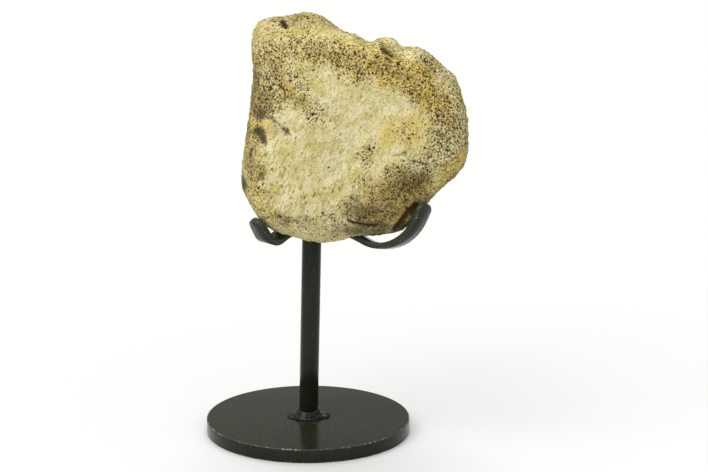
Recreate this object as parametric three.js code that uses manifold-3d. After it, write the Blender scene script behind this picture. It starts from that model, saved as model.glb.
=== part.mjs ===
// Chunky piece of fossil limb bone on a black painted metal stand, at real size in millimetres.
// Origin: centre of the round base's underside. +Z up. The face that is on show looks along -Y.
import * as THREE from 'three';
import { mergeVertices } from 'three/addons/utils/BufferGeometryUtils.js';
import Module from 'manifold-3d';

const wasm = await Module();
wasm.setup();
const { Manifold, Mesh: SolidMesh } = wasm;

// Driving dimensions of the stand
const BASE_RADIUS = 50.8;
const BASE_THICK = 7.0;
const BASE_BREAK = 0.5;
const POST_RADIUS = 4.76;
const POST_TOP = 104.95;
const POST_LEAN = THREE.MathUtils.degToRad(1.25);
const BAR_WIDTH = 9.5;
const BAR_THICK = 3.0;
const BAR_BREAK = 0.45;
const BAR_TIP_ROUND = 4.2;
const BAR_TIP_SHARE = 0.93;
const JOINT_GAP = 0.3;
const POST_END_GAP = 0.4;
const MERGE_WITHIN = 1e-4;

// Welds on the post: a low ring with a lobe on each side at the foot, and a small even ring at the top
const FOOT_WELD = { reach: 8.2, lobe: 2.5, height: 4.3, ripple: 0.35, bore: POST_RADIUS + JOINT_GAP + 0.15 };
const TOP_WELD = { reach: 6.3, height: 2.9, ripple: 0.2, bore: POST_RADIUS + JOINT_GAP, below: 3.4 };
const WELD_SIDES = 40;

// Prongs. Heading is measured at the post's top from straight ahead, positive to the right.
// Each step is length, climb, turn and roll, the last three as changes in degrees.
const PRONGS = {
  stand_prong_right: {
    heading: 62.8,
    steps: [
      [8, 0, 0, 0],
      [21.4, -25.8, 0, -15],
      [13.9, 42.5, 1.3, 0],
      [19.6, 45.5, 1.3, -4.4],
      [11.5, 14.7, 0.8, -2.8],
    ],
  },
  stand_prong_left: {
    heading: -54.3,
    steps: [[6, 0, 0, 0], [15.4, -28.9, 2.9, 5.6], [9.9, 86.5, 8.3, -9.9], [11.2, 0, -7.1, 0]],
  },
  stand_prong_back: {
    heading: 180,
    steps: [[5.5, 0, 0, 0], [9, 68, 0, 0], [15.5, 0, 0, 0]],
  },
};

// The bone: a plane through its widest outline, leaning back a little
const BONE_CENTRE = new THREE.Vector3(23, -6.5, 156.15);
const BONE_LEAN = THREE.MathUtils.degToRad(12);
const BONE_DETAIL = 19;

// Outline in that plane, across and up from the centre, clockwise from the upper left
const OUTLINE = [
  [-49.4, 39.7], [-48.9, 46.6], [-46.0, 51.8], [-41.0, 53.6], [-33.8, 54.0], [-25.4, 56.2], [-18.5, 55.4],
  [-12.9, 52.6], [-6.3, 46.9], [1.5, 44.6], [8.7, 41.2], [13, 43.4], [17.2, 43.9], [20.3, 42.1],
  [22.9, 39.4], [33.3, 38.5], [41.6, 31.6], [44.3, 28.6], [48.7, 25.4], [51.6, 15.5], [54.6, 4.5],
  [54.6, -15.5], [50.2, -22.2], [42.2, -29.2], [36.3, -36.0], [22.9, -49.8], [14.8, -51.7], [-0.6, -53.7],
  [-6.5, -55.5], [-16.8, -55.6], [-25.4, -54.5], [-34.6, -51.4], [-41.0, -48.8], [-47.6, -42.4],
  [-54.4, -28], [-54.4, -20], [-52.7, -9.5], [-51.2, 3.9], [-50.3, 15.5], [-49.0, 28.1],
];

// Clear space that the bone keeps from a prong: past each station, beside the bar and over its face,
// where the bar lies under the bone and where it stands up in front of it
const SEAT_LYING = { past: 1.6, beside: 2.1, over: 0.9 };
const SEAT_UPRIGHT = { past: 1.0, beside: 1.4, over: 0.7 };
const UPRIGHT_CLIMB = 0.75;

// Half depth towards the viewer and away, for the bottom, the sides and the top of the outline
const FRONT = { bottom: 17, side: 23, top: 24, squareness: 2.7 };
const REAR = { bottom: 33, side: 31, top: 33, squareness: 2.7 };

// The front turns under more sharply at the lower right: direction and spread in degrees, added squareness
const SHARP_CORNER = { direction: -50, spread: 24, squareness: 1.8 };

// Lumps all over: spacing, height on the worn front, height on the broken rear
const LUMPS = [
  { spacing: 13, worn: 0.5, broken: 2.3, shift: [7, 3, 5] },
  { spacing: 7, worn: 0.35, broken: 1.6, shift: [17, 31, 11] },
];
// Worn part of the front: centre and half sizes across and up, and how rough the rest of the front is
const WORN_OVAL = { across: -14, up: -16, halfAcross: 46, halfUp: 36, rimShare: 0.45 };

// Swellings and hollows: across, up, spread and height in millimetres, on the front and on the rear
const FRONT_RELIEF = [
  // broad worn hollow in the smooth middle
  [6, 2, 21, -3.4],
  [-8, -20, 18, -1.6],
  // thick rounded corner at the upper left and the pit beside it
  [-37, 44, 9, 1.6],
  [-31, 51, 3.4, -2.2],
  // porous ridge from the top to the right
  [0, 34, 10, 2.2],
  [18, 30, 10, 2.4],
  [34, 22, 10, 2.2],
  [46, 4, 10, 1.6],
  [46, -12, 7, 1.4],
  // curved groove at the upper left
  [-33.5, 15, 3.6, -1.2],
  // deep worn hollow at the lower right
  [24, -30, 9, -4.2],
  [36, -23, 7, -2.6],
  [29, -26.5, 5, -1.8],
  [22, -34, 5, -1.2],
  [11, -38, 6, -1.8],
  // lip along the bottom edge
  [6, -49, 6, 1.2],
  [-20, -47, 10, 1.2],
  // knob on the top edge and the crevices beside it
  [15.8, 36.4, 2.9, -2.0],
  [19, 40.5, 3.4, 1.2],
  [24.5, 36, 3, -1.2],
  // crease above the lip
  [9, -46, 3.4, -1.4],
  [1, -46, 3.2, -1.0],
  // pits and the notch at the left
  [-45.5, -4.2, 2.8, -1.8],
  [-35, -1.2, 3, -1.4],
  [-44, 7, 4, -1.2],
  [-45.5, -23, 3, -0.9],
  // bulge along the left edge
  [-45, -10, 9, 1.4],
  [-47, -32, 7, 0.9],
];
const REAR_RELIEF = [
  [0, 18, 16, -5],
  [-22, -8, 12, 3],
  [26, -4, 14, 2.6],
  [8, -26, 12, -4],
  [-30, 30, 10, 2.4],
  [30, 26, 9, -3.4],
  [-6, 44, 8, 2],
  [14, 12, 5, -2],
  [-14, 8, 5, -1.8],
  [-34, -24, 6, -2],
  [34, 8, 5, 1.8],
  [20, -38, 6, 2],
  [-18, 22, 5, 1.6],
];
const RELIEF_FROM_EDGE = 2.2;

// Broken faces: outward direction across, up and away from the viewer, then distance from the centre
const BREAKS = [
  [0.45, 0.42, 0.79, 35],
  [-0.62, 0.28, 0.73, 38],
  [-0.2, -0.5, 0.84, 40],
  [0.72, -0.42, 0.55, 42],
  [-0.1, 0.75, 0.65, 45],
];
const BREAK_BLEND = 3;
const BREAK_FADE = [0.06, 0.4];
const BREAK_FACING = 0.2;
const ROUGH_FADE = [0.05, 0.5];

// Smoothed random field over space, from a fixed lattice of values
function lattice(x, y, z) {
  const n = Math.sin(x * 127.1 + y * 311.7 + z * 74.7) * 43758.5453;
  return (n - Math.floor(n)) * 2 - 1;
}

function randomField(x, y, z) {
  const cell = [Math.floor(x), Math.floor(y), Math.floor(z)];
  const part = [x - cell[0], y - cell[1], z - cell[2]].map((t) => t * t * (3 - 2 * t));
  let sum = 0;
  for (let i = 0; i < 8; i += 1) {
    const corner = [i & 1, (i >> 1) & 1, (i >> 2) & 1];
    let weight = 1;
    for (let k = 0; k < 3; k += 1) {
      weight *= corner[k] ? part[k] : 1 - part[k];
    }
    sum += weight * lattice(cell[0] + corner[0], cell[1] + corner[1], cell[2] + corner[2]);
  }
  return sum;
}

const OUTLINE_STEPS = 360;
const OUTLINE_SAMPLES = 900;
const OUTLINE_WINDOW = 0.04;

// Distance to the outline in every direction, from a closed curve through its corners
function outlineTable(count) {
  const corners = OUTLINE.map(([x, y]) => new THREE.Vector3(x, y, 0));
  const curve = new THREE.CatmullRomCurve3(corners, true, 'centripetal');
  const samples = curve.getPoints(OUTLINE_SAMPLES).map((p) => [Math.atan2(p.y, p.x), Math.hypot(p.x, p.y)]);
  const table = new Float64Array(count);
  for (let i = 0; i < count; i += 1) {
    const angle = (i / count) * Math.PI * 2 - Math.PI;
    let sum = 0;
    let weight = 0;
    for (const [a, r] of samples) {
      let d = Math.abs(a - angle);
      d = Math.min(d, Math.PI * 2 - d);
      if (d < OUTLINE_WINDOW) {
        const w = 1 - d / OUTLINE_WINDOW;
        sum += w * w * r;
        weight += w * w;
      }
    }
    table[i] = sum / weight;
  }
  return table;
}

const outlineRadii = outlineTable(OUTLINE_STEPS);

function outlineRadius(x, y) {
  const at = ((Math.atan2(y, x) + Math.PI) / (Math.PI * 2)) * OUTLINE_STEPS;
  const low = Math.floor(at) % OUTLINE_STEPS;
  const high = (low + 1) % OUTLINE_STEPS;
  const t = at - Math.floor(at);
  return outlineRadii[low] * (1 - t) + outlineRadii[high] * t;
}

// Half depth that passes smoothly from the bottom through the sides to the top
function halfDepth(form, up) {
  const tilt = (form.top - form.bottom) / 2;
  const crown = (form.top + form.bottom) / 2 - form.side;
  return form.side + tilt * up + crown * up * up;
}

function relief(list, x, y) {
  let sum = 0;
  for (const [cx, cy, spread, height] of list) {
    const d = ((x - cx) ** 2 + (y - cy) ** 2) / (spread * spread);
    sum += height * Math.exp(-d);
  }
  return sum;
}

// How broken the surface is, from 0 on the worn front to 1 on the rear
function brokenShare(dir, x, y) {
  const { across, up, halfAcross, halfUp, rimShare } = WORN_OVAL;
  const reach = Math.hypot((x - across) / halfAcross, (y - up) / halfUp);
  const rim = rimShare * THREE.MathUtils.smoothstep(reach, 0.8, 1.15) * (dir.z < 0 ? 1 : 0);
  return Math.max(rim * Math.min(1, Math.abs(dir.z) * 3), THREE.MathUtils.smoothstep(dir.z, ...ROUGH_FADE));
}

function squareness(dir, form) {
  if (dir.z >= 0) {
    return form.squareness;
  }
  const from = THREE.MathUtils.radToDeg(Math.atan2(dir.y, dir.x)) - SHARP_CORNER.direction;
  return form.squareness + SHARP_CORNER.squareness * Math.exp(-((from / SHARP_CORNER.spread) ** 2));
}

// Radius of the bone along one direction: across, up, away from the viewer
function boneRadius(dir) {
  const flat = Math.hypot(dir.x, dir.y);
  const form = dir.z < 0 ? FRONT : REAR;
  const up = flat > 0 ? dir.y / flat : 0;
  const edge = outlineRadius(dir.x, dir.y);
  const depth = halfDepth(form, up * flat);
  const n = squareness(dir, form);
  let radius = ((flat / edge) ** n + (Math.abs(dir.z) / depth) ** n) ** (-1 / n);
  const facing = Math.abs(dir.z);
  const x = dir.x * radius;
  const y = dir.y * radius;
  radius += relief(dir.z < 0 ? FRONT_RELIEF : REAR_RELIEF, x, y) * Math.min(1, facing * RELIEF_FROM_EDGE);
  if (dir.z > 0) {
    const share = THREE.MathUtils.smoothstep(dir.z, ...BREAK_FADE);
    for (const [a, b, c, distance] of BREAKS) {
      const toward = dir.x * a + dir.y * b + dir.z * c;
      if (toward > BREAK_FACING) {
        const limit = distance / toward;
        const h = Math.max(BREAK_BLEND - Math.abs(radius - limit), 0) / BREAK_BLEND;
        const broken = Math.min(radius, limit) - h * h * BREAK_BLEND * 0.25;
        radius = THREE.MathUtils.lerp(radius, broken, share);
      }
    }
  }
  const p = [dir.x * radius, dir.y * radius, dir.z * radius];
  const broken = brokenShare(dir, x, y);
  for (const { spacing, worn, broken: high, shift } of LUMPS) {
    const at = p.map((c, k) => c / spacing + shift[k]);
    radius += THREE.MathUtils.lerp(worn, high, broken) * randomField(...at);
  }
  return radius;
}

const boneUp = new THREE.Vector3(0, Math.sin(BONE_LEAN), Math.cos(BONE_LEAN));
const boneAcross = new THREE.Vector3(1, 0, 0);
const boneAway = new THREE.Vector3(0, Math.cos(BONE_LEAN), -Math.sin(BONE_LEAN));

function toWorld(dir) {
  return new THREE.Vector3()
    .addScaledVector(boneAcross, dir.x)
    .addScaledVector(boneUp, dir.y)
    .addScaledVector(boneAway, dir.z);
}

// Course of one prong: centre, direction, side and face normal at each station
function prongCourse({ heading, steps }) {
  const lean = new THREE.Vector3(Math.tan(POST_LEAN), 0, 1);
  const at = lean.clone().multiplyScalar(POST_TOP).add(new THREE.Vector3(0, 0, BAR_THICK / 2));
  const angle = [0, THREE.MathUtils.degToRad(heading), 0];
  const stations = [];
  const ahead = () => new THREE.Vector3(
    Math.cos(angle[0]) * Math.sin(angle[1]),
    -Math.cos(angle[0]) * Math.cos(angle[1]),
    Math.sin(angle[0]),
  );
  const put = () => {
    const along = ahead();
    const face = new THREE.Vector3(
      -Math.sin(angle[0]) * Math.sin(angle[1]),
      Math.sin(angle[0]) * Math.cos(angle[1]),
      Math.cos(angle[0]),
    );
    const side = new THREE.Vector3().crossVectors(along, face);
    const [c, s] = [Math.cos(angle[2]), Math.sin(angle[2])];
    const turned = side.clone().multiplyScalar(c).addScaledVector(face, s);
    const normal = face.clone().multiplyScalar(c).addScaledVector(side, -s);
    stations.push({ at: at.clone(), along, side: turned, normal });
  };
  const rollSign = heading > 0 ? -1 : 1;
  put();
  for (const [length, climb, turn, roll] of steps) {
    const count = Math.max(1, Math.round(Math.max(length / 4, Math.abs(climb) / 7)));
    const change = [climb, turn, roll * rollSign].map((d) => THREE.MathUtils.degToRad(d) / count / 2);
    for (let i = 0; i < count; i += 1) {
      change.forEach((d, k) => {
        angle[k] += d;
      });
      at.addScaledVector(ahead(), length / count);
      change.forEach((d, k) => {
        angle[k] += d;
      });
      put();
    }
  }
  return stations;
}

// Extra stations that round the bar's end off
function roundedEnd(stations) {
  const last = stations[stations.length - 1];
  const previous = stations[stations.length - 2];
  const run = last.at.distanceTo(previous.at);
  const out = stations.slice(0, -1).map((s) => ({ ...s, width: BAR_WIDTH }));
  const cut = last.at.clone().addScaledVector(last.along, -BAR_TIP_ROUND);
  if (BAR_TIP_ROUND > run) {
    out.pop();
  }
  const turns = 6;
  for (let i = 0; i <= turns; i += 1) {
    const a = (i / turns) * (Math.PI / 2) * BAR_TIP_SHARE;
    const flat = BAR_WIDTH - 2 * BAR_TIP_ROUND;
    out.push({
      ...last,
      at: cut.clone().addScaledVector(last.along, BAR_TIP_ROUND * Math.sin(a)),
      width: flat + 2 * BAR_TIP_ROUND * Math.cos(a),
    });
  }
  return out;
}

// Bar with broken edges swept along its stations
function sweptBar(stations) {
  const positions = [];
  const index = [];
  for (const s of stations) {
    const w = s.width / 2;
    const t = BAR_THICK / 2;
    const b = Math.min(BAR_BREAK, w * 0.4);
    const ring = [
      [w, t - b], [w - b, t], [b - w, t], [-w, t - b], [-w, b - t], [b - w, -t], [w - b, -t], [w, b - t],
    ];
    for (const [u, v] of ring) {
      const p = s.at.clone().addScaledVector(s.side, u).addScaledVector(s.normal, v);
      positions.push(p.x, p.y, p.z);
    }
  }
  const rings = stations.length;
  for (let i = 0; i < rings - 1; i += 1) {
    for (let j = 0; j < 8; j += 1) {
      const a = i * 8 + j;
      const b = i * 8 + ((j + 1) % 8);
      index.push(a, a + 8, b, b, a + 8, b + 8);
    }
  }
  for (let j = 1; j < 7; j += 1) {
    index.push(0, j, j + 1);
    const end = (rings - 1) * 8;
    index.push(end, end + j + 1, end + j);
  }
  return facingOut(positions, index);
}

// Closed geometry from points and triangles, turned so that its faces point outwards
function facingOut(positions, index) {
  let volume = 0;
  const point = (i) => new THREE.Vector3().fromArray(positions, i * 3);
  for (let i = 0; i < index.length; i += 3) {
    volume += point(index[i]).dot(point(index[i + 1]).cross(point(index[i + 2]))) / 6;
  }
  const order = volume < 0 ? index.slice().reverse() : index;
  const geometry = new THREE.BufferGeometry();
  geometry.setAttribute('position', new THREE.Float32BufferAttribute(positions, 3));
  geometry.setIndex(order);
  return geometry;
}

function stripped(geometry) {
  const source = geometry.clone();
  source.deleteAttribute('normal');
  source.deleteAttribute('uv');
  return mergeVertices(source, MERGE_WITHIN);
}

function toSolid(geometry) {
  const merged = stripped(geometry);
  return new Manifold(new SolidMesh({
    numProp: 3,
    vertProperties: Float32Array.from(merged.attributes.position.array),
    triVerts: Uint32Array.from(merged.index.array),
  }));
}

function fromSolid(solid) {
  const mesh = solid.getMesh();
  const geometry = new THREE.BufferGeometry();
  geometry.setAttribute('position', new THREE.Float32BufferAttribute(mesh.vertProperties, 3));
  geometry.setIndex(new THREE.Uint32BufferAttribute(mesh.triVerts, 1));
  return geometry;
}

// Wedge that keeps a prong's root within its third of the post's top
function rootWedge(heading, wide) {
  const from = THREE.MathUtils.degToRad(heading);
  const shape = new THREE.Shape();
  const centre = new THREE.Vector2(Math.tan(POST_LEAN) * POST_TOP, 0);
  const corner = (turn, reach) => new THREE.Vector2(
    centre.x + Math.sin(from + turn) * reach,
    centre.y - Math.cos(from + turn) * reach,
  );
  const apex = corner(0, JOINT_GAP / 2 / Math.sin(wide));
  const far = BASE_RADIUS * 4;
  shape.setFromPoints([apex, corner(-wide, far), corner(0, far * 2), corner(wide, far)]);
  const geometry = new THREE.ExtrudeGeometry(shape, { depth: far, bevelEnabled: false });
  geometry.translate(0, 0, POST_TOP - BASE_RADIUS);
  return geometry;
}

function leanOver(geometry) {
  geometry.applyMatrix4(new THREE.Matrix4().makeRotationY(POST_LEAN));
  return geometry;
}

const painted = new THREE.MeshStandardMaterial({ color: '#1d1e1b', roughness: 0.45, metalness: 0.2 });
const fossil = new THREE.MeshStandardMaterial({ color: '#c3b285', roughness: 0.9 });

const group = new THREE.Group();

function add(name, geometry, material) {
  geometry.computeVertexNormals();
  const mesh = new THREE.Mesh(geometry, material);
  mesh.name = name;
  group.add(mesh);
}

// Round base plate
const plateProfile = [
  [0, 0],
  [BASE_RADIUS - BASE_BREAK, 0],
  [BASE_RADIUS, BASE_BREAK],
  [BASE_RADIUS, BASE_THICK - BASE_BREAK],
  [BASE_RADIUS - BASE_BREAK, BASE_THICK],
  [0, BASE_THICK],
].map(([r, z]) => new THREE.Vector2(r, z));
const plate = new THREE.LatheGeometry(plateProfile, 80).rotateX(Math.PI / 2);
add('stand_base', stripped(plate), painted);

// Leaning post
const postFoot = BASE_THICK + POST_END_GAP;
const postLength = POST_TOP - POST_END_GAP - postFoot;
const post = new THREE.CylinderGeometry(POST_RADIUS, POST_RADIUS, postLength, 32).rotateX(Math.PI / 2);
post.translate(0, 0, postFoot + postLength / 2);
add('stand_post', stripped(leanOver(post)), painted);

// Ring of weld metal round the post, with its own reach and height at every angle
function weldRing(foot, bore, reach, height) {
  const section = (out, top) => [
    [bore, 0],
    [out, 0],
    [out * 0.97, top * 0.25],
    [bore + (out - bore) * 0.55, top * 0.62],
    [bore + 0.5, top],
    [bore, top * 0.9],
  ];
  const positions = [];
  const index = [];
  const corners = section(1, 1).length;
  for (let i = 0; i < WELD_SIDES; i += 1) {
    const a = (i / WELD_SIDES) * Math.PI * 2;
    for (const [r, z] of section(reach(a), height(a))) {
      positions.push(Math.cos(a) * r, Math.sin(a) * r, foot + z);
    }
  }
  for (let i = 0; i < WELD_SIDES; i += 1) {
    const next = (i + 1) % WELD_SIDES;
    for (let j = 0; j < corners; j += 1) {
      const k = (j + 1) % corners;
      const [a, b, c, d] = [i * corners + j, i * corners + k, next * corners + j, next * corners + k];
      index.push(a, c, b, b, c, d);
    }
  }
  return facingOut(positions, index);
}

const footWeld = weldRing(
  BASE_THICK + JOINT_GAP,
  FOOT_WELD.bore,
  (a) => FOOT_WELD.reach + FOOT_WELD.lobe * Math.abs(Math.cos(a)) ** 5
    + FOOT_WELD.ripple * Math.sin(3 * a + 1),
  (a) => FOOT_WELD.height - 0.6 * Math.abs(Math.cos(a)) ** 4 + FOOT_WELD.ripple * Math.sin(2 * a + 0.6),
);
add('stand_weld_foot', footWeld, painted);

const topWeld = weldRing(
  POST_TOP - TOP_WELD.below,
  TOP_WELD.bore,
  (a) => TOP_WELD.reach + TOP_WELD.ripple * Math.sin(4 * a + 2),
  (a) => TOP_WELD.height + TOP_WELD.ripple * Math.sin(3 * a),
);
topWeld.translate((POST_TOP - TOP_WELD.below / 2) * Math.tan(POST_LEAN), 0, 0);
add('stand_weld_top', topWeld, painted);

// Prongs, and the stations that the bone keeps clear of
const prongStations = [];
for (const [name, form] of Object.entries(PRONGS)) {
  const stations = roundedEnd(prongCourse(form));
  const bar = toSolid(sweptBar(stations));
  const wedge = toSolid(rootWedge(form.heading, Math.PI / 3));
  add(name, fromSolid(bar.intersect(wedge)), painted);
  prongStations.push(stations);
}

// How far a ray from the bone's centre may run before it meets a prong, with clear space left
function prongLimit(dir) {
  let limit = Infinity;
  for (const stations of prongStations) {
    for (let i = 0; i < stations.length - 1; i += 1) {
      const s = stations[i];
      const next = stations[i + 1];
      const length = s.at.distanceTo(next.at);
      const middle = s.at.clone().add(next.at).multiplyScalar(0.5).sub(BONE_CENTRE);
      const along = next.at.clone().sub(s.at).normalize();
      const seat = along.z > UPRIGHT_CLIMB ? SEAT_UPRIGHT : SEAT_LYING;
      const half = [length / 2 + seat.past, s.width / 2 + seat.beside, BAR_THICK / 2 + seat.over];
      const axes = [along, s.side, new THREE.Vector3().crossVectors(along, s.side)];
      let enter = 0;
      let leave = Infinity;
      for (let k = 0; k < 3; k += 1) {
        const speed = dir.dot(axes[k]);
        const offset = middle.dot(axes[k]);
        const t1 = (offset - half[k]) / speed;
        const t2 = (offset + half[k]) / speed;
        enter = Math.max(enter, Math.min(t1, t2));
        leave = Math.min(leave, Math.max(t1, t2));
      }
      if (enter < leave) {
        limit = Math.min(limit, enter);
      }
    }
  }
  return limit;
}

// The bone: every direction from its centre is pushed out to the form's surface
const ball = stripped(new THREE.IcosahedronGeometry(1, BONE_DETAIL));
const directions = ball.attributes.position;
const bone = ball.clone();
// Away, across and up make a left-handed set, so the triangles are turned round
bone.setIndex(Array.from(ball.index.array).reverse());
for (let i = 0; i < directions.count; i += 1) {
  const dir = new THREE.Vector3().fromBufferAttribute(directions, i).normalize();
  const world = toWorld(dir);
  const radius = Math.min(boneRadius(dir), prongLimit(world));
  const p = world.multiplyScalar(radius).add(BONE_CENTRE);
  bone.attributes.position.setXYZ(i, p.x, p.y, p.z);
}
add('bone', bone, fossil);

export default group;
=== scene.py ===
import math

import bpy
import numpy as np
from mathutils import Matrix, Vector


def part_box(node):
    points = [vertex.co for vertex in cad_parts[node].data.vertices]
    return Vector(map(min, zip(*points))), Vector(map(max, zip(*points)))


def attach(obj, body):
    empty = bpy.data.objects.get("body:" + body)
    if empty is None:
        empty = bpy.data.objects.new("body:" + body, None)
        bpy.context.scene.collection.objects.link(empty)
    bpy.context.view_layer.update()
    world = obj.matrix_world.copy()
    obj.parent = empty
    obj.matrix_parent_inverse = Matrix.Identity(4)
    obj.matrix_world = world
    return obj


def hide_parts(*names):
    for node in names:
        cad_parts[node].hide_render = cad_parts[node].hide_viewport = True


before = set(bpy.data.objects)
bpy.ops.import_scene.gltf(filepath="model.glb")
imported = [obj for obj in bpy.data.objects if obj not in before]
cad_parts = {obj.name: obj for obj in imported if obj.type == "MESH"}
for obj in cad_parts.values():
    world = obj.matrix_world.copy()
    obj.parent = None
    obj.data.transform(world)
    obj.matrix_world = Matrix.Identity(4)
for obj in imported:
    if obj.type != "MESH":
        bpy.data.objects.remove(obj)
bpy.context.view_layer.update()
bpy.ops.object.select_all(action="DESELECT")

# Sizes in metres, read from the frame where it has them
MM = 0.001
BASE_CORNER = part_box("stand_base")[1]
BASE_RADIUS = BASE_CORNER.x
BASE_TOP = BASE_CORNER.z
POST_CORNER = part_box("stand_post")[1]
POST_RADIUS = POST_CORNER.y
POST_TOP = POST_CORNER.z
POST_LEAN = math.radians(1.25)

# The bone's own plane: its centre in millimetres, and how far it leans back
BONE_CENTRE = np.array([23.0, -6.5, 156.15])
BONE_LEAN = math.radians(12)


def colour(code):
    """Linear colour with full alpha from an sRGB hex code."""
    out = []
    for start in (1, 3, 5):
        c = int(code[start : start + 2], 16) / 255
        out.append(c / 12.92 if c <= 0.04045 else ((c + 0.055) / 1.055) ** 2.4)
    return (*out, 1.0)


def put(tree, kind, inputs=None, **settings):
    """Adds a node with its settings. An input given as a socket is linked, any other is a constant."""
    made = tree.nodes.new(kind)
    for key, value in settings.items():
        setattr(made, key, value)
    for key, value in (inputs or {}).items():
        if isinstance(value, bpy.types.NodeSocket):
            tree.links.new(value, made.inputs[key])
        else:
            made.inputs[key].default_value = value
    return made


def new_material(name):
    """Material with nothing but one surface shader, its node tree and that shader."""
    material = bpy.data.materials.new(name)
    material.use_nodes = True
    tree = material.node_tree
    tree.nodes.clear()
    surface = put(tree, "ShaderNodeBsdfPrincipled")
    put(tree, "ShaderNodeOutputMaterial", {"Surface": surface.outputs[0]})
    return material, tree, surface


# Camera, floor and light


def place_camera():
    """Camera where the photograph was taken from, looking down a little."""
    photo_wide = 708
    focal_in_pixels = 2592
    place = Vector((22.97, -1235.9, 420.05)) * MM
    looks_down = 14.5
    camera = bpy.data.cameras.new("camera")
    camera.sensor_width = 36
    camera.lens = camera.sensor_width * focal_in_pixels / photo_wide
    holder = bpy.data.objects.new("camera", camera)
    bpy.context.scene.collection.objects.link(holder)
    holder.location = place
    holder.rotation_euler = (math.radians(90 - looks_down), 0, 0)
    bpy.context.scene.camera = holder


def pale_floor():
    """White paper that reaches far past the view: matt, hardly any gloss."""
    metres_wide = 12
    bpy.ops.mesh.primitive_plane_add(size=metres_wide, location=(0, 0, 0))
    floor = bpy.context.object
    floor.name = "floor"
    material, tree, surface = new_material("white paper")
    surface.inputs["Base Color"].default_value = colour("#cdcdcf")
    surface.inputs["Roughness"].default_value = 0.9
    surface.inputs["Specular IOR Level"].default_value = 0.1
    floor.data.materials.append(material)
    floor.select_set(False)


def soft_sun(name, towards, spread, strength):
    """Light from one side of the sky, spread over that many degrees as a large softbox is."""
    light = bpy.data.lights.new(name, "SUN")
    light.angle = math.radians(spread)
    light.energy = strength
    holder = bpy.data.objects.new(name, light)
    bpy.context.scene.collection.objects.link(holder)
    holder.location = towards
    holder.rotation_mode = "QUATERNION"
    holder.rotation_quaternion = Vector(towards).to_track_quat("Z", "Y")


def studio_light():
    """Bright even sky of a light tent, with a large soft lamp at the front left and one overhead."""
    world = bpy.data.worlds.new("studio")
    bpy.context.scene.world = world
    world.use_nodes = True
    tree = world.node_tree
    background = tree.nodes["Background"]
    # Brightest overhead and in front, as under a large softbox, and dim along the far horizon
    softbox = (-0.2, -0.45, 0.87)
    direction = put(tree, "ShaderNodeTexCoord").outputs["Generated"]
    towards_box = put(
        tree, "ShaderNodeVectorMath", {0: direction, 1: softbox}, operation="DOT_PRODUCT"
    ).outputs["Value"]
    glow = put(
        tree, "ShaderNodeMapRange",
        {"Value": towards_box, "From Min": -0.3, "From Max": 0.9, "To Min": 0.25, "To Max": 1.25},
    ).outputs[0]
    tree.links.new(glow, background.inputs["Strength"])
    background.inputs["Color"].default_value = (0.99, 1.0, 0.925, 1.0)
    soft_sun("key", (-0.6, -0.5, 1.0), 50, 1.2)
    soft_sun("top", (0.05, 0.42, 1.0), 30, 1.35)
    bpy.context.scene.view_settings.view_transform = "Standard"


# Bone, painted by zones. A patch is across, up, half length, half height, turn in degrees and strength.
# Lengths are in millimetres in the bone's own plane, seen from the front.

POROUS_PATCHES = [
    (-40, 35, 10, 9, 0, 0.9),
    (-40, 24, 10, 13, 0, 1.0),
    (-41, 12, 8, 8, 0, 0.9),
    (-21, 38, 17, 8, -18, 0.85),
    (-1, 32, 16, 8.5, -27, 1.0),
    (16.5, 29, 14, 9, -30, 1.0),
    (32, 21, 14, 9.5, -40, 1.0),
    (43, 7, 12, 9, -65, 1.0),
    (44, -7, 9, 12, 0, 1.0),
    (37, -16, 10, 6, 15, 0.9),
    (22, -20, 10, 4, 10, 0.8),
    (6.5, -13, 5, 5.5, 0, 0.65),
    (25.5, -2.5, 8, 5, 0, 0.4),
    (24, -31, 17, 9, 15, 1.0),
    (12, -41, 12, 6, 10, 0.85),
    (4.5, -27, 5, 7, 0, 0.5),
    (-28, 20, 7, 9, 0, 0.65),
    (-19.5, 7.5, 6, 5.5, -30, 0.7),
    (-34, -45, 11, 3, -12, 0.5),
    (10, 40, 16, 5, -20, 0.7),
    (38, 31, 14, 7, -42, 0.75),
    (51, 6, 6, 22, 5, 0.8),
    (48, -22, 8, 6, 40, 0.6),
    (-2, -40, 5, 8, 10, 0.45),
    (-47, -24, 6, 18, 8, 0.5),
    (-49, 5, 5, 20, 0, 0.6),
    (-28, 52, 18, 5, 0, 0.55),
    (-15, -46, 16, 5, 0, 0.4),
    (-36, 46, 14, 7, 8, 0.38),
]
WARM_PATCHES = [
    (-20, 38, 18, 8, -18, 0.5),
    (-1, 33, 15, 8, -27, 0.75),
    (16, 28, 14, 9, -30, 0.95),
    (31, 22, 13, 9, -40, 0.9),
    (40, 10, 9, 8, -60, 0.7),
    (-40, 26, 10, 18, 0, 0.42),
    (-44, 0, 8, 4, -10, 0.6),
    (20, -35, 18, 11, 15, 0.8),
    (49, -20, 6, 12, -40, 0.8),
    (-52, 10, 4, 30, 0, 0.5),
    (-48, -36, 5, 8, 30, 0.4),
    (23, -1, 13, 9, 0, 0.5),
    (-20, 50, 20, 5, 0, 0.35),
    (-37, 45, 13, 7, 8, 0.3),
    (-49, -15, 5, 14, 5, 0.45),
]
ORANGE_PATCHES = [
    (-31.5, 18, 3.2, 3, 0, 1.0),
    (3.5, 42, 3.5, 2, -20, 0.9),
    (31.5, 27, 3.2, 3, 0, 0.8),
    (36, 13, 3.5, 4.5, 0, 0.8),
    (26, -1, 8, 5, 0, 0.6),
    (14, -4, 4, 3, 0, 0.45),
    (5.2, -29.5, 3, 2.4, 0, 0.5),
    (17, 42, 3, 2, 0, 0.5),
    (50, -18, 3, 8, -30, 0.5),
    (-30, 47, 6, 2.5, 0, 0.2),
    (-45, 1.5, 6, 2, -20, 0.5),
]
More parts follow.
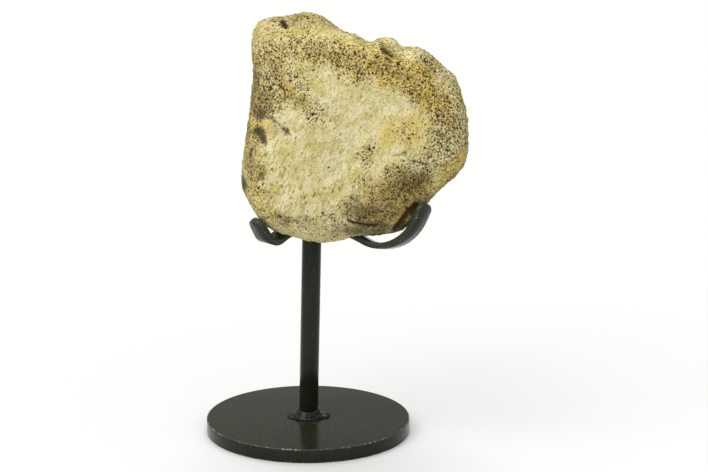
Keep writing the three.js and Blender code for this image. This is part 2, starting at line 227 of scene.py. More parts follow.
PALE_PATCHES = [
    (-12, 12, 8, 4, 10, 0.8),
    (-4, -4, 5, 9, 0, 0.8),
    (-10.5, -17, 7, 6, 0, 0.9),
    (10, -25.5, 8, 2.5, 15, 0.7),
    (17, 10, 14, 7, -25, 0.5),
    (-13, -43, 16, 6, 0, 0.6),
    (-28, -28, 10, 8, 0, 0.4),
    (-2, 20, 16, 5, -15, 0.35),
    (-38, 28, 9, 13, 0, 0.5),
    (42, -6, 9, 13, 0, 0.4),
]
# Stains, with painted shade on the lip along the bottom, in the hollow at the lower right and beside
# the right prong
STAIN_AND_SHADE_PATCHES = [
    (-45.6, -3.8, 4.6, 2.7, -52, 1.0),
    (-49, -13.4, 1.2, 2.4, 10, 0.95),
    (-45.5, -23, 3.2, 2.4, 30, 0.65),
    (-54, -27.5, 1.8, 4.5, 20, 0.95),
    (-45.2, 7.6, 3.4, 4, -25, 0.8),
    (-40, 3.5, 4, 1.3, -40, 0.6),
    (-48.4, 20, 2.6, 13, 0, 0.62),
    (-45, 12, 5, 7, 0, 0.45),
    (-36, 27, 3.5, 7, 10, 0.28),
    (-33.6, -1.2, 2.6, 1.2, -60, 0.85),
    (-37, -0.6, 4, 2.4, 0, 0.4),
    (-25.5, 12.5, 4, 2.4, 15, 0.45),
    (-33.2, 50.4, 2.4, 1.5, -40, 0.8),
    (15.6, 36.5, 4, 2, -45, 0.85),
    (-14, 36, 12, 2.4, -10, 0.28),
    (8, 31, 10, 5, -25, 0.22),
    (25, 25, 8, 3.5, -30, 0.2),
    (-22, 52, 20, 5, 0, 0.36),
    (28, -26.5, 11, 6, 18, 0.7),
    (25, -35.5, 12, 6, 22, 0.52),
    (15, -40, 11, 6, 15, 0.57),
    (1, -38, 4.2, 8, 8, 0.55),
    (9, -46.4, 13, 1.4, -2, 0.8),
    (8, -49.5, 16, 3.4, 3, 0.8),
    (-7, -49, 4.5, 4, 20, 0.45),
    (23.5, -46.5, 6, 3, 56, 1.0),
    (27.5, -41.5, 7, 3.4, 52, 1.0),
    (34, -34.5, 4.5, 3, 50, 0.5),
    (-3, -43, 20, 8, 0, 0.18),
    (22, -32, 17, 11, 18, 0.49),
    (-51.8, 0, 1.6, 8, 0, 0.45),
    (46, -27, 7, 2.5, 40, 0.4),
    (-32, -44.5, 9, 2.4, -10, 0.5),
    (-22, -43, 5, 2, 0, 0.42),
    (38, 30, 9, 4, -40, 0.26),
    (24.5, -13, 2, 0.9, 0, 0.8),
    (-49.5, -17, 4.5, 10, 5, 0.38),
    (33, -39, 5, 7, -50, 0.5),
    (6, -40, 11, 6, -5, 0.72),
    (-36, 47, 14, 5, 10, 0.24),
]

# Where the pores are drawn out along the limb's grain
DRAWN_PATCHES = [
    (-40, -20, 14, 26, 10, 1.0),
    (-20, -36, 25, 15, 0, 1.0),
    (-20, -4, 14, 14, 0, 0.45),
    (0, -26, 12, 16, 0, 0.5),
]

# Cracks and grooves in the front: points across and up, half width and depth, in millimetres
GROOVES = [
    ([(-36, 20), (-34, 18.8), (-33, 16), (-33.2, 12.5)], 0.55, 0.85),
    ([(-34.5, 51.8), (-32.6, 49.2)], 1.2, 1.3),
    ([(14, 38), (15.4, 36.8), (18, 34.8)], 1.0, 0.9),
    ([(-2.6, -44.4), (-0.5, -46.2), (4, -46.4), (7, -47.4), (11.5, -47.2)], 0.6, 1.2),
    ([(19.8, -50), (23, -45.2), (27, -40), (30, -37.4)], 1.7, 1.4),
    ([(18, 22), (26, 14), (28, 10)], 0.9, 0.35),
    ([(18.5, -13.5), (22, -12.8), (25.5, -13.6)], 0.7, 0.5),
    ([(-40.5, 5), (-36, 1.6), (-34, -0.5), (-32.6, -3.4)], 0.8, 0.5),
]


def fade(value, start, end):
    """Share from 0 at the start to 1 at the end."""
    return np.clip((value - start) / (end - start), 0, 1)


def ripple(across, up, size):
    """Soft irregular value from -1 to 1 that bends the borders of the patches."""
    a = np.sin(across / size + 1.7 * np.sin(up / size * 0.8 + 2.1))
    b = np.sin(up / size * 1.3 + 1.9 * np.sin(across / size * 0.7 + 0.4))
    return (a + b) / 2


def patch_value(across, up, patches, edge):
    """Highest of the patches at every point, fading over the last part of their size."""
    bend = 1.6  # millimetres that a patch's border wanders
    bent_across = across + bend * ripple(across, up, 3.1)
    bent_up = up + bend * ripple(up + 9, across, 2.7)
    value = np.zeros_like(across)
    for centre_across, centre_up, half_long, half_high, turn, strength in patches:
        c, s = math.cos(math.radians(turn)), math.sin(math.radians(turn))
        x = (bent_across - centre_across) * c + (bent_up - centre_up) * s
        y = (bent_up - centre_up) * c - (bent_across - centre_across) * s
        reach = np.hypot(x / half_long, y / half_high)
        inside = fade(reach, 1 + edge, 1 - edge)
        value = np.maximum(value, strength * inside * inside * (3 - 2 * inside))
    return value


def groove_value(across, up):
    """Depth in millimetres of the cut grooves at every point."""
    depth = np.zeros_like(across)
    for points, half_width, deep in GROOVES:
        nearest = np.full_like(across, 1e9)
        for (x0, y0), (x1, y1) in zip(points[:-1], points[1:]):
            dx, dy = x1 - x0, y1 - y0
            t = np.clip(((across - x0) * dx + (up - y0) * dy) / (dx * dx + dy * dy), 0, 1)
            nearest = np.minimum(nearest, np.hypot(across - x0 - t * dx, up - y0 - t * dy))
        depth = np.maximum(depth, deep * np.exp(-((nearest / half_width) ** 2)))
    return depth


def paint(piece, name, values):
    """Keeps one value for every point of the piece under a name that its material reads."""
    layer = piece.data.attributes.new(name, "FLOAT", "POINT")
    layer.data.foreach_set("value", values.astype(np.float32))


def paint_bone_zones(piece):
    """Front, edge and back each get their share of pores, tints, stains with painted shade, and
    grooves.
    """
    flat = np.zeros(len(piece.data.vertices) * 3, np.float32)
    piece.data.vertices.foreach_get("co", flat)
    place = flat.reshape(-1, 3).astype(float) / MM - BONE_CENTRE
    c, s = math.cos(BONE_LEAN), math.sin(BONE_LEAN)
    across = place[:, 0]
    up = place[:, 1] * s + place[:, 2] * c
    away = place[:, 1] * c - place[:, 2] * s
    front = fade(away, 9, -3)
    rear = 1 - front
    # Stains and painted shade reach far round the right side and the underside, and only a little round
    # the left edge
    stain_and_shade_reach = 7 + 21 * fade(across, -12, 12)
    stain_and_shade_share = fade(away, stain_and_shade_reach, stain_and_shade_reach - 12)
    cloud = 0.5 + 0.5 * ripple(across + away * 0.6, up - away * 0.4, 7.3)
    fine_cloud = 0.5 + 0.5 * ripple(up + away, across - away * 0.5, 3.9)
    rim = fade(away, -14, -4)
    open_front = 0.08 + 0.3 * rim + 0.9 * patch_value(across, up, POROUS_PATCHES, 0.65)
    paint(piece, "porous", front * np.minimum(open_front, 1) + rear * 0.9)
    # Each zone's share in front, its patches and how softly they fade, and its value on the back
    for name, share, patches, edge, behind in (
        ("warm", front, WARM_PATCHES, 0.35, 0.35 + 0.5 * cloud),
        ("orange", front, ORANGE_PATCHES, 0.5, 0.3 * fine_cloud**3),
        ("pale", front, PALE_PATCHES, 0.6, 0.4 * (1 - cloud)),
        ("stain_and_shade", stain_and_shade_share, STAIN_AND_SHADE_PATCHES, 0.6, 0.45 * fine_cloud * cloud),
        ("drawn", front, DRAWN_PATCHES, 0.5, 0.0),
    ):
        paint(piece, name, share * patch_value(across, up, patches, edge) + rear * behind)
    paint(piece, "groove", front * groove_value(across, up))
    paint(piece, "rear", rear)


# The bone's patterns: size in millimetres
BLOTCHES = 7.0
LUMPS = 4.0
SHADED_HOLLOWS = 2.6
ROUGH_SKIN = 2.2
SPECKLES = 1.5
GRAIN = 1.15
GRIT = 0.75
# The grain leans to the right, and lines and pores are that many times longer along it than across
GRAIN_TILT = math.radians(24)
GRAIN_DRAWN = 2.8
PORES_DRAWN = 2.6

# Pores: spacing in millimetres, and least and greatest radius as shares of it
LARGE_PORES = (2.7, 0.13, 0.29)
MIDDLE_PORES = (1.5, 0.19, 0.39)
SMALL_PORES = (1.0, 0.26, 0.52)
TINY_PORES = (0.72, 0.26, 0.5)
STRAY_PORES = (4.6, 0.07, 0.15)
DRAWN_PORES = (1.9, 0.11, 0.24)
# How much of a pore's radius is its floor, and over what range of density pores thin out
PORE_FLOOR = 0.78
THINNING = 0.12


def uneven(tree, place):
    """The same place shifted about by half a millimetre, so that pores come out crooked."""
    wave, throw = 1.3 * MM, 1.4 * MM
    drift = put(
        tree, "ShaderNodeTexNoise", {"Vector": place, "Scale": 1 / wave, "Detail": 1.0}
    ).outputs[1]
    drift = put(
        tree, "ShaderNodeVectorMath", {0: drift, 1: (0.5, 0.5, 0.5)}, operation="SUBTRACT"
    ).outputs[0]
    drift = put(tree, "ShaderNodeVectorMath", {0: drift, "Scale": throw}, operation="SCALE").outputs[0]
    return put(tree, "ShaderNodeVectorMath", {0: place, 1: drift}, operation="ADD").outputs[0]


def pore_field(tree, place, sizes, density):
    """Depth from 0 to 1 of pores, at most one in a cell, fewer and smaller where density is low."""
    cell, smallest, largest = sizes
    cells = put(tree, "ShaderNodeTexVoronoi", {"Vector": place, "Scale": 1 / (cell * MM)})
    from_centre = cells.outputs["Distance"]
    # Two chances for every cell: whether it has a pore, and how wide that is
    first, second, _ = put(tree, "ShaderNodeSeparateXYZ", {0: cells.outputs["Color"]}).outputs
    sure = put(tree, "ShaderNodeMath", {0: density, 1: THINNING}, operation="SUBTRACT").outputs[0]
    there = put(
        tree, "ShaderNodeMapRange",
        {"Value": first, "From Min": density, "From Max": sure, "To Min": 0.0, "To Max": 1.0},
    ).outputs[0]
    radius = put(
        tree, "ShaderNodeMapRange",
        {"Value": second, "From Min": 0.0, "From Max": 1.0, "To Min": smallest, "To Max": largest},
    ).outputs[0]
    growth = put(
        tree, "ShaderNodeMapRange",
        {"Value": density, "From Min": 0.0, "From Max": 0.7, "To Min": 0.6, "To Max": 1.0},
    ).outputs[0]
    radius = put(tree, "ShaderNodeMath", {0: radius, 1: growth}, operation="MULTIPLY").outputs[0]
    core = put(tree, "ShaderNodeMath", {0: radius, 1: PORE_FLOOR}, operation="MULTIPLY").outputs[0]
    pit = put(
        tree, "ShaderNodeMapRange",
        {"Value": from_centre, "From Min": radius, "From Max": core, "To Min": 0.0, "To Max": 1.0},
        interpolation_type="SMOOTHSTEP",
    ).outputs[0]
    return put(tree, "ShaderNodeMath", {0: pit, 1: there}, operation="MULTIPLY").outputs[0]


def bone_relief():
    """Node group that keeps each point's first place, then pushes the skin in and out."""
    tree = bpy.data.node_groups.new("bone relief", "GeometryNodeTree")
    tree.interface.new_socket("Geometry", in_out="INPUT", socket_type="NodeSocketGeometry")
    tree.interface.new_socket("Geometry", in_out="OUTPUT", socket_type="NodeSocketGeometry")
    start = put(tree, "NodeGroupInput").outputs[0]
    place = put(tree, "GeometryNodeInputPosition").outputs[0]
    normal = put(tree, "GeometryNodeInputNormal").outputs[0]
    kept = put(
        tree, "GeometryNodeStoreNamedAttribute",
        {"Geometry": start, "Name": "first_place", "Value": place},
        data_type="FLOAT_VECTOR", domain="POINT",
    ).outputs[0]
    zone = {
        name: put(tree, "GeometryNodeInputNamedAttribute", {"Name": name}, data_type="FLOAT").outputs[0]
        for name in ("porous", "groove", "rear")
    }
    lumps = put(
        tree, "ShaderNodeTexNoise", {"Vector": place, "Scale": 1 / (LUMPS * MM), "Detail": 2.0}
    ).outputs[0]
    rough = put(
        tree, "ShaderNodeTexNoise", {"Vector": place, "Scale": 1 / (ROUGH_SKIN * MM), "Detail": 3.0}
    ).outputs[0]
    crooked = uneven(tree, place)
    coarse = pore_field(tree, crooked, LARGE_PORES, zone["porous"])
    fine = pore_field(tree, crooked, MIDDLE_PORES, zone["porous"])
    openness = put(
        tree, "ShaderNodeMath", {0: zone["porous"], 1: 1.5, 2: 0.35}, operation="MULTIPLY_ADD"
    ).outputs[0]
    rough_open = put(tree, "ShaderNodeMath", {0: rough, 1: openness}, operation="MULTIPLY").outputs[0]
    rough_rear = put(
        tree, "ShaderNodeMath", {0: rough, 1: zone["rear"]}, operation="MULTIPLY"
    ).outputs[0]
    # Each pattern with its height and its shift in millimetres
    heights = [
        (lumps, 0.7, -0.35),
        (rough_open, 1.0, -0.5),
        (rough_rear, 1.6, -0.6),
        (coarse, -0.9, 0.0),
        (fine, -0.5, 0.0),
        (zone["groove"], -1.0, 0.0),
    ]
    total = None
    for value, scale, shift in heights:
        sized = put(
            tree, "ShaderNodeMath", {0: value, 1: scale, 2: shift}, operation="MULTIPLY_ADD"
        ).outputs[0]
        if total is None:
            total = sized
        else:
            total = put(tree, "ShaderNodeMath", {0: total, 1: sized}, operation="ADD").outputs[0]
    metres = put(tree, "ShaderNodeMath", {0: total, 1: MM}, operation="MULTIPLY").outputs[0]
    push = put(tree, "ShaderNodeVectorMath", {0: normal, "Scale": metres}, operation="SCALE").outputs[0]
    moved = put(tree, "GeometryNodeSetPosition", {"Geometry": kept, "Offset": push}).outputs[0]
    put(tree, "NodeGroupOutput", {0: moved})
    return tree


def spongy_bone():
    """Mineralised spongy bone, sanded by burial: matt, cream where smooth, ochre where porous."""
    material, tree, surface = new_material("mineralised spongy bone")
    zone = {
        name: put(tree, "ShaderNodeAttribute", attribute_name=name).outputs["Fac"]
        for name in ("porous", "warm", "orange", "pale", "stain_and_shade", "drawn", "groove")
    }
    place = put(tree, "ShaderNodeAttribute", attribute_name="first_place").outputs["Vector"]
    blotch = put(
        tree, "ShaderNodeTexNoise", {"Vector": place, "Scale": 1 / (BLOTCHES * MM), "Detail": 4.0}
    ).outputs[0]
    speckle = put(
        tree, "ShaderNodeTexNoise",
        {"Vector": place, "Scale": 1 / (SPECKLES * MM), "Detail": 3.0, "Roughness": 0.65},
    ).outputs[0]
    grit = put(
        tree, "ShaderNodeTexNoise", {"Vector": place, "Scale": 1 / (GRIT * MM), "Detail": 2.0}
    ).outputs[0]
    # Fine lines along the limb's grain, drawn a little coarser than real so that they show
    along_grain = put(
        tree, "ShaderNodeMapping",
        {"Vector": place, "Rotation": (0, GRAIN_TILT, 0), "Scale": (1.0, 1.0, GRAIN_DRAWN)},
        vector_type="TEXTURE",
    ).outputs[0]
    grain = put(
        tree, "ShaderNodeTexNoise", {"Vector": along_grain, "Scale": 1 / (GRAIN * MM), "Detail": 3.0}
    ).outputs[0]
    # Pores drawn out along it, closer together where the drawn patches are
    drawn_place = put(
        tree, "ShaderNodeMapping",
        {"Vector": place, "Rotation": (0, GRAIN_TILT, 0), "Scale": (1.0, 1.0, PORES_DRAWN)},
        vector_type="TEXTURE",
    ).outputs[0]
    drawn_density = put(
        tree, "ShaderNodeMath", {0: zone["drawn"], 1: 0.6, 2: 0.27}, operation="MULTIPLY_ADD"
    ).outputs[0]
    drawn_pores = pore_field(tree, drawn_place, DRAWN_PORES, drawn_density)
    # Open pores of three sizes, and pinholes and a few strays all over
    crooked = uneven(tree, place)
    pits = pore_field(tree, crooked, SMALL_PORES, zone["porous"])
    for sizes in (MIDDLE_PORES, LARGE_PORES):
        wider = pore_field(tree, crooked, sizes, zone["porous"])
        pits = put(tree, "ShaderNodeMath", {0: pits, 1: wider}, operation="MAXIMUM").outputs[0]
    scattered = put(
        tree, "ShaderNodeMath", {0: zone["porous"], 1: 0.75, 2: 0.2}, operation="MULTIPLY_ADD"
    ).outputs[0]
    pinholes = pore_field(tree, crooked, TINY_PORES, scattered)
    strays = pore_field(tree, crooked, STRAY_PORES, 0.6)
    for faint, share in ((pinholes, 0.55), (drawn_pores, 0.74), (strays, 1.0)):
        faint = put(tree, "ShaderNodeMath", {0: faint, 1: share}, operation="MULTIPLY").outputs[0]
        pits = put(tree, "ShaderNodeMath", {0: pits, 1: faint}, operation="MAXIMUM").outputs[0]

    # Smooth bone in two shades of cream, mottled
    mottled = put(
        tree, "ShaderNodeMapRange",
        {"Value": blotch, "From Min": 0.34, "From Max": 0.66, "To Min": 0.0, "To Max": 1.0},
    ).outputs[0]
    tone = put(
        tree, "ShaderNodeMix",
        {0: mottled, 6: colour("#c0b476"), 7: colour("#dad1a9")}, data_type="RGBA",
    ).outputs[2]
    # Each tint lies over the one before in broken patches, up to its share
    tints = [
        (zone["pale"], 0.6, colour("#d5cfaf")),
        (zone["warm"], 0.8, colour("#d2b258")),
        (zone["orange"], 0.55, colour("#c8a53e")),
    ]
    broken = put(
        tree, "ShaderNodeMapRange",
        {"Value": speckle, "From Min": 0.3, "From Max": 0.65, "To Min": 0.45, "To Max": 1.0},
    ).outputs[0]
    for mask, share, tint in tints:
        amount = put(tree, "ShaderNodeMath", {0: mask, 1: broken}, operation="MULTIPLY").outputs[0]
        amount = put(
            tree, "ShaderNodeMath", {0: amount, 1: share}, operation="MULTIPLY", use_clamp=True
        ).outputs[0]
        tone = put(tree, "ShaderNodeMix", {0: amount, 6: tone, 7: tint}, data_type="RGBA").outputs[2]
    # Specks and flecks of light and dark, slight where worn smooth and strong where open
    shade = None
    for pattern, least, extra in ((speckle, 0.11, 0.19), (grit, 0.12, 0.2)):
        swing = put(
            tree, "ShaderNodeMapRange",
            {"Value": pattern, "From Min": 0.3, "From Max": 0.7, "To Min": -1.0, "To Max": 1.0},
        ).outputs[0]
        strength = put(
            tree, "ShaderNodeMath", {0: zone["porous"], 1: extra, 2: least}, operation="MULTIPLY_ADD"
        ).outputs[0]
        factor = put(
            tree, "ShaderNodeMath", {0: swing, 1: strength, 2: 1.0}, operation="MULTIPLY_ADD"
        ).outputs[0]
        if shade is None:
            shade = factor
        else:
            shade = put(tree, "ShaderNodeMath", {0: shade, 1: factor}, operation="MULTIPLY").outputs[0]
    # Brownish strokes between the lines of the grain
    strokes = put(
        tree, "ShaderNodeMapRange",
        {"Value": grain, "From Min": 0.49, "From Max": 0.37, "To Min": 0.0, "To Max": 0.75},
    ).outputs[0]
    stroke_share = put(
        tree, "ShaderNodeMath", {0: zone["drawn"], 1: 0.45, 2: 0.55}, operation="MULTIPLY_ADD"
    ).outputs[0]
    strokes = put(
        tree, "ShaderNodeMath", {0: strokes, 1: stroke_share}, operation="MULTIPLY"
    ).outputs[0]
    tone = put(
        tree, "ShaderNodeMix", {0: strokes, 6: tone, 7: colour("#a08c4e")}, data_type="RGBA"
    ).outputs[2]
    # Painted brown shade between the walls, in hollows two or three pores wide
    shaded_hollows = put(
        tree, "ShaderNodeTexNoise", {"Vector": place, "Scale": 1 / (SHADED_HOLLOWS * MM), "Detail": 2.0}
    ).outputs[0]
    shaded_hollows = put(
        tree, "ShaderNodeMapRange",
        {"Value": shaded_hollows, "From Min": 0.5, "From Max": 0.36, "To Min": 0.0, "To Max": 0.3},
    ).outputs[0]
    shaded_hollows = put(
        tree, "ShaderNodeMath", {0: shaded_hollows, 1: zone["porous"]}, operation="MULTIPLY"
    ).outputs[0]
    tone = put(
        tree, "ShaderNodeMix", {0: shaded_hollows, 6: tone, 7: colour("#8a6c35")}, data_type="RGBA"
    ).outputs[2]
    # The darker specks are browner as well, as earth stays in the low ones
    earthy = put(
        tree, "ShaderNodeMath", {0: shade, 1: -1.5, 2: 1.5}, operation="MULTIPLY_ADD", use_clamp=True
    ).outputs[0]
    tone = put(
        tree, "ShaderNodeMix", {0: earthy, 6: tone, 7: colour("#9c7e3c")}, data_type="RGBA"
    ).outputs[2]
    tone = put(tree, "ShaderNodeVectorMath", {0: tone, "Scale": shade}, operation="SCALE").outputs[0]
    # Stains and painted shade keep to the low spots, so their borders are sharp and broken
    low_spots = put(tree, "ShaderNodeMath", {0: speckle, 1: grit}, operation="ADD").outputs[0]
    uneven_stain_and_shade = put(
        tree, "ShaderNodeMath", {0: low_spots, 1: 1.5, 2: zone["stain_and_shade"]}, operation="MULTIPLY_ADD"
    ).outputs[0]
    dirt_and_shade = put(
        tree, "ShaderNodeMapRange",
        {"Value": uneven_stain_and_shade, "From Min": 1.68, "From Max": 2.3, "To Min": 0.0, "To Max": 0.92},
    ).outputs[0]
    soil_and_shade = put(
        tree, "ShaderNodeMix",
        {0: zone["stain_and_shade"], 6: colour("#7e714b"), 7: colour("#30291a")}, data_type="RGBA",
    ).outputs[2]
    tone = put(tree, "ShaderNodeMix", {0: dirt_and_shade, 6: tone, 7: soil_and_shade}, data_type="RGBA").outputs[2]
    # Cracks darkened, then painted shade and brown sediment in the pores
    deep = put(
        tree, "ShaderNodeMath",
        {0: zone["groove"], 1: 1.4, 2: -0.3}, operation="MULTIPLY_ADD", use_clamp=True,
    ).outputs[0]
    deep = put(
        tree, "ShaderNodeMath", {0: deep, 1: low_spots}, operation="MULTIPLY", use_clamp=True
    ).outputs[0]
    tone = put(
        tree, "ShaderNodeMix", {0: deep, 6: tone, 7: colour("#3c2b12")}, data_type="RGBA"
    ).outputs[2]
    dark = put(tree, "ShaderNodeMath", {0: pits, 1: 0.92}, operation="MULTIPLY").outputs[0]
    tone = put(
        tree, "ShaderNodeMix", {0: dark, 6: tone, 7: colour("#4a3006")}, data_type="RGBA"
    ).outputs[2]
    tree.links.new(tone, surface.inputs["Base Color"])
    surface.inputs["Roughness"].default_value = 0.9
    surface.inputs["Specular IOR Level"].default_value = 0.1

    # Height in millimetres: pores go in, grain and specks stand out a little
    height = put(tree, "ShaderNodeMath", {0: pits, 1: -0.6}, operation="MULTIPLY").outputs[0]
    for pattern, least, extra in ((speckle, 0.25, 0.5), (grain, 0.25, 0.0), (grit, 0.08, 0.2)):
        amount = put(
            tree, "ShaderNodeMath", {0: zone["porous"], 1: extra, 2: least}, operation="MULTIPLY_ADD"
        ).outputs[0]
        height = put(
            tree, "ShaderNodeMath", {0: pattern, 1: amount, 2: height}, operation="MULTIPLY_ADD"
        ).outputs[0]
    bump = put(tree, "ShaderNodeBump", {"Height": height, "Distance": MM, "Strength": 1.0})
    tree.links.new(bump.outputs[0], surface.inputs["Normal"])
    return material


def copy_of_node(name, piece_name):
    """A piece of its own from a solid's mesh, with its loose triangles joined."""
    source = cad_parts[name]
    piece = bpy.data.objects.new(piece_name, source.data.copy())
    bpy.context.scene.collection.objects.link(piece)
    piece.data.materials.clear()
    bpy.context.view_layer.objects.active = piece
    piece.select_set(True)
    bpy.ops.object.mode_set(mode="EDIT")
    bpy.ops.mesh.select_all(action="SELECT")
    bpy.ops.mesh.remove_doubles(threshold=0.01 * MM)
    bpy.ops.object.mode_set(mode="OBJECT")
    return piece


def apply(piece, modifier):
    """Turns a modifier's result into the piece's own mesh."""
    bpy.context.view_layer.objects.active = piece
    bpy.ops.object.modifier_apply(modifier=modifier.name)


def settle(piece, material, slot, *nodes):
    """Finishes a piece: its place goes into its mesh, and it rides in place of its solids."""
    bpy.context.view_layer.objects.active = piece
    piece.select_set(True)
    bpy.ops.object.transform_apply(location=True, rotation=True, scale=True)
    if material:
        piece.data.materials.append(material)
    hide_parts(*nodes)
    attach(piece, "root")
    piece.select_set(False)


def make_bone():
    """The solid's surface made finer, painted by zones, and given its pores, lumps and cracks."""
    bone = copy_of_node("bone", "fossil_bone")
    smooth = bone.modifiers.new("smooth", "SUBSURF")
    smooth.levels = smooth.render_levels = 2
    apply(bone, smooth)
    paint_bone_zones(bone)
    relief = bone.modifiers.new("relief", "NODES")
    relief.node_group = bone_relief()
    apply(bone, relief)
    bpy.ops.object.shade_smooth()
    settle(bone, spongy_bone(), "bone", "bone")


# Stand

# The enamel's patterns: size in millimetres
SPRAY_CLOUDS = 9.0
ORANGE_PEEL = 0.9
DUST_SPECKS = 0.7
POOLED_WAVES = 2.6
BARE_SPECKS = 0.8
BARE_STRETCHES = 6.0
# Edges sharper than the first are bevelled, and faces that meet within the second are shaded as one
SHARP_EDGE = math.radians(50)
ONE_FACE = math.radians(35)


def satin_black_enamel(name, film):
    """Satin black enamel sprayed on steel: near black, a soft broad gloss, and that share of dust."""
    material, tree, surface = new_material(name)
    place = put(tree, "ShaderNodeTexCoord").outputs["Object"]
    cloud = put(
        tree, "ShaderNodeTexNoise", {"Vector": place, "Scale": 1 / (SPRAY_CLOUDS * MM), "Detail": 4.0}
    ).outputs[0]
    peel = put(
        tree, "ShaderNodeTexNoise", {"Vector": place, "Scale": 1 / (ORANGE_PEEL * MM), "Detail": 2.0}
    ).outputs[0]
    tone = put(
        tree, "ShaderNodeMix", {0: cloud, 6: colour("#0f140c"), 7: colour("#181e13")}, data_type="RGBA"
    ).outputs[2]
    # A thin film of dust on whatever faces up, with a few lighter specks in it
    normal = put(tree, "ShaderNodeNewGeometry").outputs["Normal"]
    facing = put(tree, "ShaderNodeSeparateXYZ", {0: normal}).outputs[2]
    specks = put(
        tree, "ShaderNodeTexNoise", {"Vector": place, "Scale": 1 / (DUST_SPECKS * MM), "Detail": 1.0}
    ).outputs[0]
    dust = put(
        tree, "ShaderNodeMapRange",
        {"Value": specks, "From Min": 0.66, "From Max": 0.72, "To Min": film, "To Max": film + 0.2},
    ).outputs[0]
    upward = put(
        tree, "ShaderNodeMath", {0: facing, 1: 0.6, 2: 0.4}, operation="MULTIPLY_ADD", use_clamp=True
    ).outputs[0]
    dust = put(tree, "ShaderNodeMath", {0: dust, 1: upward}, operation="MULTIPLY").outputs[0]
    tone = put(
        tree, "ShaderNodeMix", {0: dust, 6: tone, 7: colour("#98a07c")}, data_type="RGBA"
    ).outputs[2]
    tree.links.new(tone, surface.inputs["Base Color"])
    gloss = put(
        tree, "ShaderNodeMapRange",
        {"Value": cloud, "From Min": 0.3, "From Max": 0.7, "To Min": 0.13, "To Max": 0.19},
    ).outputs[0]
    tree.links.new(gloss, surface.inputs["Roughness"])
    surface.inputs["Specular IOR Level"].default_value = 0.19
    bump = put(tree, "ShaderNodeBump", {"Height": peel, "Distance": 0.02 * MM, "Strength": 1.0})
    tree.links.new(bump.outputs[0], surface.inputs["Normal"])
    return material


def pooled_enamel():
    """The same enamel where it pooled on the weld beads and dried thick: a wet-looking high gloss."""
    material, tree, surface = new_material("pooled black enamel")
    place = put(tree, "ShaderNodeTexCoord").outputs["Object"]
    wave = put(
        tree, "ShaderNodeTexNoise", {"Vector": place, "Scale": 1 / (POOLED_WAVES * MM), "Detail": 1.0}
    ).outputs[0]
    tone = put(
        tree, "ShaderNodeMix", {0: wave, 6: colour("#060705"), 7: colour("#0c0d0a")}, data_type="RGBA"
    ).outputs[2]
    tree.links.new(tone, surface.inputs["Base Color"])
    surface.inputs["Roughness"].default_value = 0.07
    surface.inputs["Specular IOR Level"].default_value = 0.23
    bump = put(tree, "ShaderNodeBump", {"Height": wave, "Distance": 0.1 * MM, "Strength": 1.0})
    tree.links.new(bump.outputs[0], surface.inputs["Normal"])
    return material


def rubbed_enamel_edge():
    """The same enamel rubbed on a sharp edge: specks of bright steel and primer show through."""
    material, tree, surface = new_material("rubbed enamel edge")
    place = put(tree, "ShaderNodeTexCoord").outputs["Object"]
    speck = put(
        tree, "ShaderNodeTexNoise", {"Vector": place, "Scale": 1 / (BARE_SPECKS * MM), "Detail": 3.0}
    ).outputs[0]
    stretch = put(
        tree, "ShaderNodeTexNoise", {"Vector": place, "Scale": 1 / (BARE_STRETCHES * MM), "Detail": 1.0}
    ).outputs[0]
    joined = put(
        tree, "ShaderNodeMath", {0: stretch, 1: 0.5, 2: speck}, operation="MULTIPLY_ADD"
    ).outputs[0]
    bare = put(
        tree, "ShaderNodeMapRange",
        {"Value": joined, "From Min": 0.82, "From Max": 0.95, "To Min": 0.0, "To Max": 1.0},
    ).outputs[0]
    tone = put(
        tree, "ShaderNodeMix", {0: bare, 6: colour("#2a2c26"), 7: colour("#959788")}, data_type="RGBA"
    ).outputs[2]
    tree.links.new(tone, surface.inputs["Base Color"])
    surface.inputs["Roughness"].default_value = 0.34
    surface.inputs["Specular IOR Level"].default_value = 0.27
    return material


def make_base(paint_material, edge_material):
    """Round plate whose rims are rounded and rubbed."""
    bpy.ops.mesh.primitive_cylinder_add(
        vertices=160, radius=BASE_RADIUS, depth=BASE_TOP, location=(0, 0, BASE_TOP / 2)
    )
    plate = bpy.context.object
    plate.name = "base_plate"
    plate.data.materials.append(paint_material)
    plate.data.materials.append(edge_material)
    rounding = plate.modifiers.new("rounding", "BEVEL")
    rounding.width = 0.5 * MM
    rounding.segments = 3
    rounding.angle_limit = SHARP_EDGE
    rounding.material = 1
    apply(plate, rounding)
    bpy.ops.object.shade_smooth_by_angle(angle=ONE_FACE)
    settle(plate, None, "stand_paint", "stand_base")


def make_post(paint_material):
    """Round rod that leans a little to the right, its ends chamfered."""
    length = POST_TOP - BASE_TOP
    middle = (BASE_TOP + POST_TOP) / 2
    bpy.ops.mesh.primitive_cylinder_add(
        vertices=64, radius=POST_RADIUS, depth=length,
        location=(middle * math.tan(POST_LEAN), 0, middle), rotation=(0, POST_LEAN, 0),
    )
    post = bpy.context.object
    post.name = "post"
    chamfer = post.modifiers.new("chamfer", "BEVEL")
    chamfer.width = 0.4 * MM
    chamfer.segments = 2
    chamfer.angle_limit = SHARP_EDGE
    apply(post, chamfer)
    bpy.ops.object.shade_smooth_by_angle(angle=ONE_FACE)
    settle(post, paint_material, "stand_paint", "stand_post")


# Weld beads round the post's foot and top: angle in degrees, then distance out from the post's
# centre, radius and height in millimetres
FOOT_BEADS = [
    (4, 9.0, 2.4, 1.9),
    (-14, 8.4, 2.4, 1.7),
    (176, 8.4, 2.4, 1.8),
    (194, 8.0, 2.4, 1.6),
    *((turn, 6.3, 2.2, 2.2) for turn in range(0, 360, 20)),
    *((turn, 4.9, 2.1, 4.5) for turn in range(0, 360, 20)),
]
TOP_BEADS = [(turn, 4.9, 1.35, 1.3) for turn in range(0, 360, 40)]


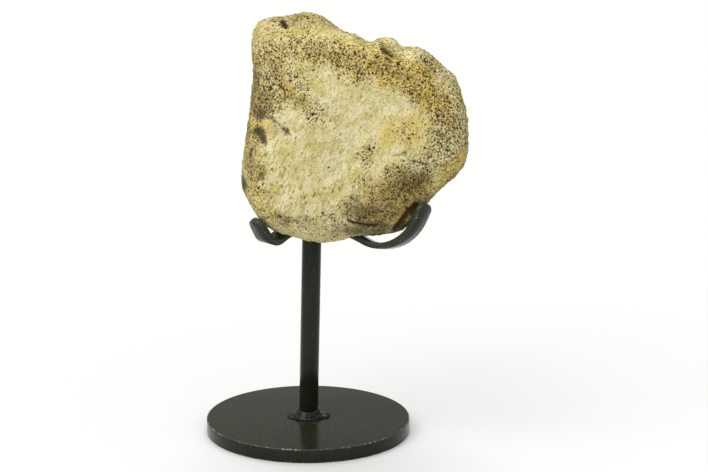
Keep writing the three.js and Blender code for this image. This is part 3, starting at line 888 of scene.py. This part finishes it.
def make_weld(name, node, beads, foot, centre, paint_material):
    """Weld beads round the post, fused into one skin and smoothed till they run together."""
    bpy.ops.object.select_all(action="DESELECT")
    parts = []
    for turn, out, radius, height in beads:
        a = math.radians(turn)
        at = (centre + out * MM * math.cos(a), out * MM * math.sin(a), foot)
        bpy.ops.mesh.primitive_ico_sphere_add(subdivisions=3, radius=radius * MM, location=at)
        bead = bpy.context.object
        bead.scale = (1, 1, height / radius)
        parts.append(bead)
    for bead in parts:
        bead.select_set(True)
    bpy.context.view_layer.objects.active = parts[0]
    bpy.ops.object.join()
    weld = bpy.context.object
    weld.name = name
    bpy.ops.object.transform_apply(location=True, rotation=True, scale=True)
    fuse = weld.modifiers.new("fuse", "REMESH")
    fuse.mode = "VOXEL"
    fuse.voxel_size = 0.28 * MM
    apply(weld, fuse)
    run_together = weld.modifiers.new("run together", "SMOOTH")
    run_together.factor = 0.8
    run_together.iterations = 22
    apply(weld, run_together)
    bpy.ops.object.shade_smooth()
    settle(weld, paint_material, "stand_paint", node)


def make_prong(side, paint_material, edge_material):
    """Bent flat bar, painted: the narrow faces along its edges are the ones that are rubbed."""
    prong = copy_of_node(f"stand_prong_{side}", f"prong_{side}")
    prong.data.materials.append(paint_material)
    prong.data.materials.append(edge_material)
    narrow = 0.66 * MM
    points = prong.data.vertices
    for face in prong.data.polygons:
        corners = [points[i].co for i in face.vertices]
        longest = max((corners[i] - corners[i - 1]).length for i in range(3))
        width = 2 * face.area / longest
        face.material_index = 1 if width < narrow else 0
    bpy.ops.object.shade_smooth_by_angle(angle=SHARP_EDGE)
    settle(prong, None, "stand_paint", f"stand_prong_{side}")


place_camera()
pale_floor()
studio_light()
enamel = satin_black_enamel("satin black enamel", 0.015)
dusty = satin_black_enamel("dusty black enamel", 0.12)
rubbed = rubbed_enamel_edge()
make_bone()
make_base(enamel, rubbed)
make_post(enamel)
make_weld("weld_foot", "stand_weld_foot", FOOT_BEADS, BASE_TOP, 0.0, pooled_enamel())
top_low, top_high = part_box("stand_weld_top")
make_weld("weld_top", "stand_weld_top", TOP_BEADS, top_low.z, (top_low.x + top_high.x) / 2, enamel)
for side in ("left", "right", "back"):
    make_prong(side, dusty, rubbed)
